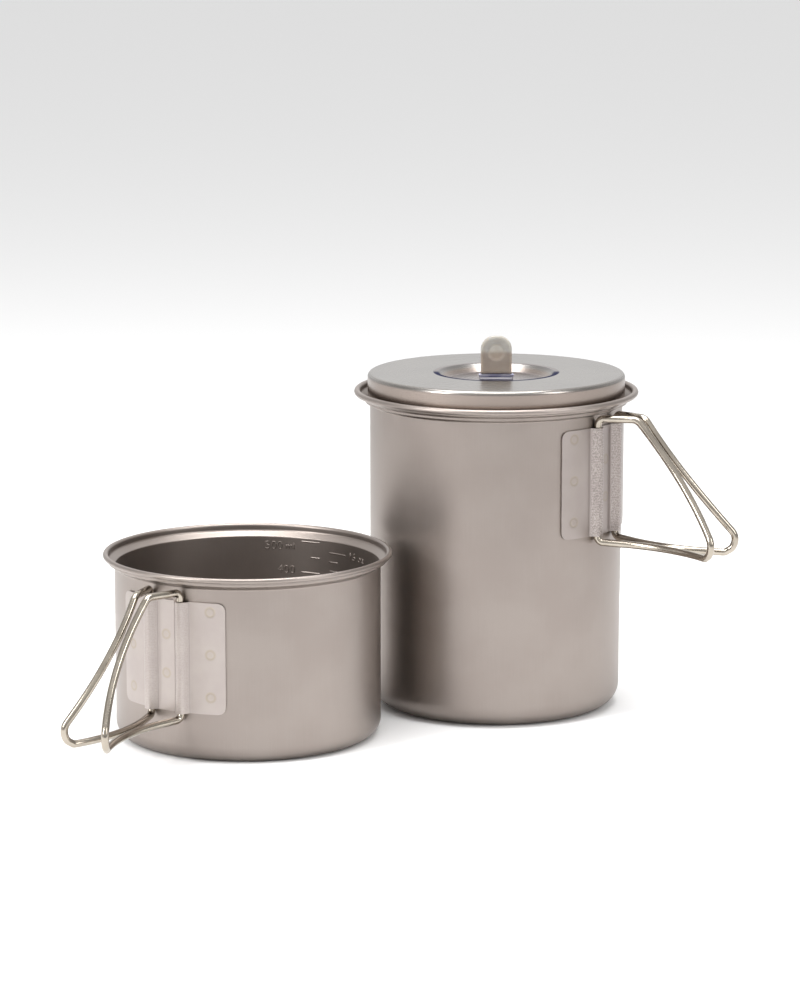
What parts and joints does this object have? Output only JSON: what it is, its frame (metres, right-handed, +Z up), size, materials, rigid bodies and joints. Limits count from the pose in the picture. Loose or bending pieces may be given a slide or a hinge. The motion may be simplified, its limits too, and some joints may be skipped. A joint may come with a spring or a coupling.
{
  "type": "cooking pot set",
  "caption": "Tall lidded camping pot and a wide bowl in satin titanium, each with folding butterfly wire handles; the lid has a fold-down knob.",
  "frame": {"origin": "centre of the tall pot's flat base, on the surface that the set stands on", "axes": "+Z up, out of the pot's mouth; the set is seen from -Y, with the bowl to -X of the pot"},
  "size_m": [0.2498, 0.1999, 0.1445],
  "materials": {
    "titanium_shell": "fine bead-blasted titanium, satin",
    "titanium_lid": "fine satin titanium",
    "titanium_plate": "pressed titanium sheet, satin, with spot-weld marks",
    "titanium_wire": "drawn titanium wire, polished",
    "knob_metal": "heat-tinted titanium, satin",
    "silicone": "translucent grey silicone, matt"
  },
  "bodies": {
    "pot": {"pot_body": "titanium_shell", "pot_hinge_plate": "titanium_plate"},
    "pot_left_handle": {"pot_handle_left": "titanium_wire"},
    "pot_right_handle": {"pot_handle_right": "titanium_wire"},
    "lid": {"lid_cap": "titanium_lid", "knob_saddle": "knob_metal", "knob_pin": "knob_metal"},
    "knob": {"knob_tab": "knob_metal", "knob_cover": "silicone"},
    "bowl": {"bowl_body": "titanium_shell", "bowl_hinge_plate": "titanium_plate"},
    "bowl_left_handle": {"bowl_handle_left": "titanium_wire"},
    "bowl_right_handle": {"bowl_handle_right": "titanium_wire"}
  },
  "joints": [
    {"name": "pot_left_handle_fold", "type": "hinge", "parent": "pot", "child": "pot_left_handle", "pos_m": [0.0379, -0.0333, 0.0932], "axis": [0, 0, 1], "range_deg": [-108, 1.5]},
    {"name": "pot_right_handle_fold", "type": "hinge", "parent": "pot", "child": "pot_right_handle", "pos_m": [0.04534, -0.02212, 0.0932], "axis": [0, 0, 1], "range_deg": [-1.5, 108]},
    {"name": "pot_lid_lift", "type": "slide", "parent": "pot", "child": "lid", "axis": [0, 0, 1], "range_m": [0, 0.12]},
    {"name": "lid_knob_fold", "type": "hinge", "parent": "lid", "child": "knob", "pos_m": [0, 0, 0.129], "axis": [1, 0, 0], "range_deg": [-90, 90]},
    {"name": "bowl_lift", "type": "slide", "parent": "pot", "child": "bowl", "axis": [-0.2271, -0.1241, 0.9659], "range_m": [0, 0.15]},
    {"name": "bowl_left_handle_fold", "type": "hinge", "parent": "bowl", "child": "bowl_left_handle", "pos_m": [-0.12912, -0.09046, 0.0396], "axis": [0, 0, 1], "range_deg": [-110, 1.5]},
    {"name": "bowl_right_handle_fold", "type": "hinge", "parent": "bowl", "child": "bowl_right_handle", "pos_m": [-0.11771, -0.09815, 0.0396], "axis": [0, 0, 1], "range_deg": [-1.5, 106]}
  ]
}
